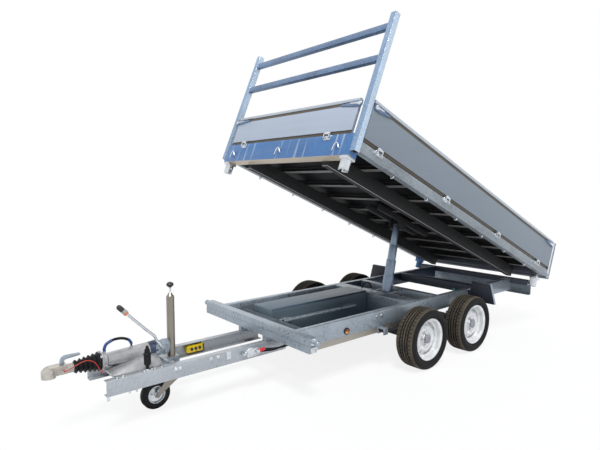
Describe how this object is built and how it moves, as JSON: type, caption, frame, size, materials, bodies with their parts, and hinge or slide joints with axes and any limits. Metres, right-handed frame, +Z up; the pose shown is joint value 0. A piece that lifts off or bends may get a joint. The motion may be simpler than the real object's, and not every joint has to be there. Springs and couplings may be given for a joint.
{
  "type": "tipper trailer",
  "caption": "Tandem-axle tipper trailer with a tilted load bed, drop boards, ladder rack, telescopic tipping cylinder, overrun drawbar and jockey wheel.",
  "frame": {"origin": "on the ground under the middle of the trailer's whole length and width, as it parks", "axes": "+X forward towards the coupling, +Y to the left side, +Z up"},
  "size_m": [5.1062, 1.786, 2.8346],
  "materials": {
    "galvanised": "hot-dip galvanised with a pale spangle",
    "weathered_zinc": "galvanised, dull and shaded",
    "bright_zinc": "bright zinc plated",
    "board_panel": "grey anodised aluminium plank",
    "wheel_silver": "silver wheel paint",
    "tyre_rubber": "road tyre rubber",
    "black_rubber": "black rubber",
    "red_cable": "red sheathed cable",
    "yellow_case": "yellow moulded case",
    "amber_lens": "amber lens",
    "red_lens": "red lens",
    "hard_chrome": "ground and chromed steel"
  },
  "bodies": {
    "chassis": {"rails": "galvanised", "cross_beams": "galvanised", "front_beam": "galvanised", "rear_beam": "galvanised", "drawbar_arms": "galvanised", "overrun_housing": "galvanised", "coupling_head": "bright_zinc", "coupling_handle": "bright_zinc", "bellows": "black_rubber", "handbrake_lever": "bright_zinc", "breakaway_cable": "red_cable", "lead_plug": "black_rubber", "jockey_tube": "galvanised", "pump_tray": "weathered_zinc", "pump_cover": "weathered_zinc", "rods_and_pipes": "weathered_zinc", "hydraulic_valve": "bright_zinc", "hoses": "black_rubber", "pendant": "yellow_case", "marker_lamps": "amber_lens", "axles": "weathered_zinc", "leaf_springs": "weathered_zinc", "spring_hangers": "galvanised", "mud_flaps": "weathered_zinc", "light_board": "galvanised", "tail_lamps": "red_lens"},
    "jockey_caster": {"jockey_fork": "galvanised"},
    "jockey_wheel": {"jockey_tyre": "black_rubber", "jockey_rim": "bright_zinc"},
    "wheel_front_left": {"tyre_front_left": "tyre_rubber", "rim_front_left": "wheel_silver"},
    "wheel_front_right": {"tyre_front_right": "tyre_rubber", "rim_front_right": "wheel_silver"},
    "wheel_rear_left": {"tyre_rear_left": "tyre_rubber", "rim_rear_left": "wheel_silver"},
    "wheel_rear_right": {"tyre_rear_right": "tyre_rubber", "rim_rear_right": "wheel_silver"},
    "bed": {"bed_floor": "weathered_zinc", "bed_side_rails": "galvanised", "bed_end_beams": "galvanised", "bed_main_beams": "weathered_zinc", "bed_cross_members": "weathered_zinc", "load_hooks": "bright_zinc", "tip_cups": "bright_zinc", "ladder_rack": "galvanised", "lift_bracket": "weathered_zinc"},
    "left_side": {"left_board": "board_panel", "left_fittings": "bright_zinc"},
    "right_side": {"right_board": "board_panel", "right_fittings": "bright_zinc"},
    "front_side": {"front_board": "board_panel", "front_fittings": "bright_zinc"},
    "tail_side": {"tailgate": "board_panel", "tailgate_fittings": "bright_zinc"},
    "lift_base": {"lift_barrel": "galvanised"},
    "lift_first": {"lift_stage_1": "hard_chrome"},
    "lift_second": {"lift_stage_2": "hard_chrome"},
    "lift_third": {"lift_stage_3": "hard_chrome"},
    "lift_end": {"lift_rod": "hard_chrome"}
  },
  "joints": [
    {"name": "bed_tip", "type": "hinge", "parent": "chassis", "child": "bed", "pos_m": [-2.23994, 0, 0.481], "axis": [0, -1, 0], "range_deg": [-22.4, 22.6]},
    {"name": "left_drop", "type": "hinge", "parent": "bed", "child": "left_side", "pos_m": [-0.93048, 0.884, 1.24029], "axis": [-0.9245, 0, -0.3811], "range_deg": [0, 175]},
    {"name": "right_drop", "type": "hinge", "parent": "bed", "child": "right_side", "pos_m": [-0.93048, -0.884, 1.24029], "axis": [0.9245, 0, 0.3811], "range_deg": [0, 175]},
    {"name": "front_drop", "type": "hinge", "parent": "bed", "child": "front_side", "pos_m": [0.69791, 0, 1.95797], "axis": [0, 1, 0], "range_deg": [0, 110]},
    {"name": "tail_swing", "type": "hinge", "parent": "bed", "child": "tail_side", "pos_m": [-2.50307, 0, 0.90686], "axis": [0, 1, 0], "range_deg": [0, 95]},
    {"name": "jockey_swivel", "type": "hinge", "parent": "chassis", "child": "jockey_caster", "pos_m": [1.70406, 0, 0.0002], "axis": [0, 0, 1], "continuous": true},
    {"name": "jockey_spin", "type": "hinge", "parent": "jockey_caster", "child": "jockey_wheel", "pos_m": [1.83106, 0, 0.105], "axis": [0, 1, 0], "continuous": true},
    {"name": "spin_front_left", "type": "hinge", "parent": "chassis", "child": "wheel_front_left", "pos_m": [-0.26994, 0.735, 0.2625], "axis": [0, 1, 0], "continuous": true},
    {"name": "spin_front_right", "type": "hinge", "parent": "chassis", "child": "wheel_front_right", "pos_m": [-0.26994, -0.735, 0.2625], "axis": [0, 1, 0], "continuous": true},
    {"name": "spin_rear_left", "type": "hinge", "parent": "chassis", "child": "wheel_rear_left", "pos_m": [-0.97994, 0.735, 0.2625], "axis": [0, 1, 0], "continuous": true},
    {"name": "spin_rear_right", "type": "hinge", "parent": "chassis", "child": "wheel_rear_right", "pos_m": [-0.97994, -0.735, 0.2625], "axis": [0, 1, 0], "continuous": true},
    {"name": "lift_swing", "type": "hinge", "parent": "chassis", "child": "lift_base", "pos_m": [-0.65694, 0, 0.448], "axis": [0, -1, 0], "range_deg": [-11.25, 11.35]},
    {"name": "lift_slide_1", "type": "slide", "parent": "lift_base", "child": "lift_first", "axis": [-0.2039, 0, 0.979], "range_m": [-0.15, 0.1514]},
    {"name": "lift_slide_2", "type": "slide", "parent": "lift_first", "child": "lift_second", "axis": [-0.2039, 0, 0.979], "range_m": [-0.15, 0.1514]},
    {"name": "lift_slide_3", "type": "slide", "parent": "lift_second", "child": "lift_third", "axis": [-0.2039, 0, 0.979], "range_m": [-0.15, 0.1514]},
    {"name": "lift_slide_4", "type": "slide", "parent": "lift_third", "child": "lift_end", "axis": [-0.2039, 0, 0.979], "range_m": [-0.15, 0.1514]}
  ],
  "couplings": [
    {"joint": "lift_swing", "follows": "bed_tip", "ratio": 0.4999},
    {"joint": "lift_slide_1", "follows": "bed_tip", "m_per_rad": 0.38324},
    {"joint": "lift_slide_2", "follows": "bed_tip", "m_per_rad": 0.38324},
    {"joint": "lift_slide_3", "follows": "bed_tip", "m_per_rad": 0.38324},
    {"joint": "lift_slide_4", "follows": "bed_tip", "m_per_rad": 0.38324}
  ]
}
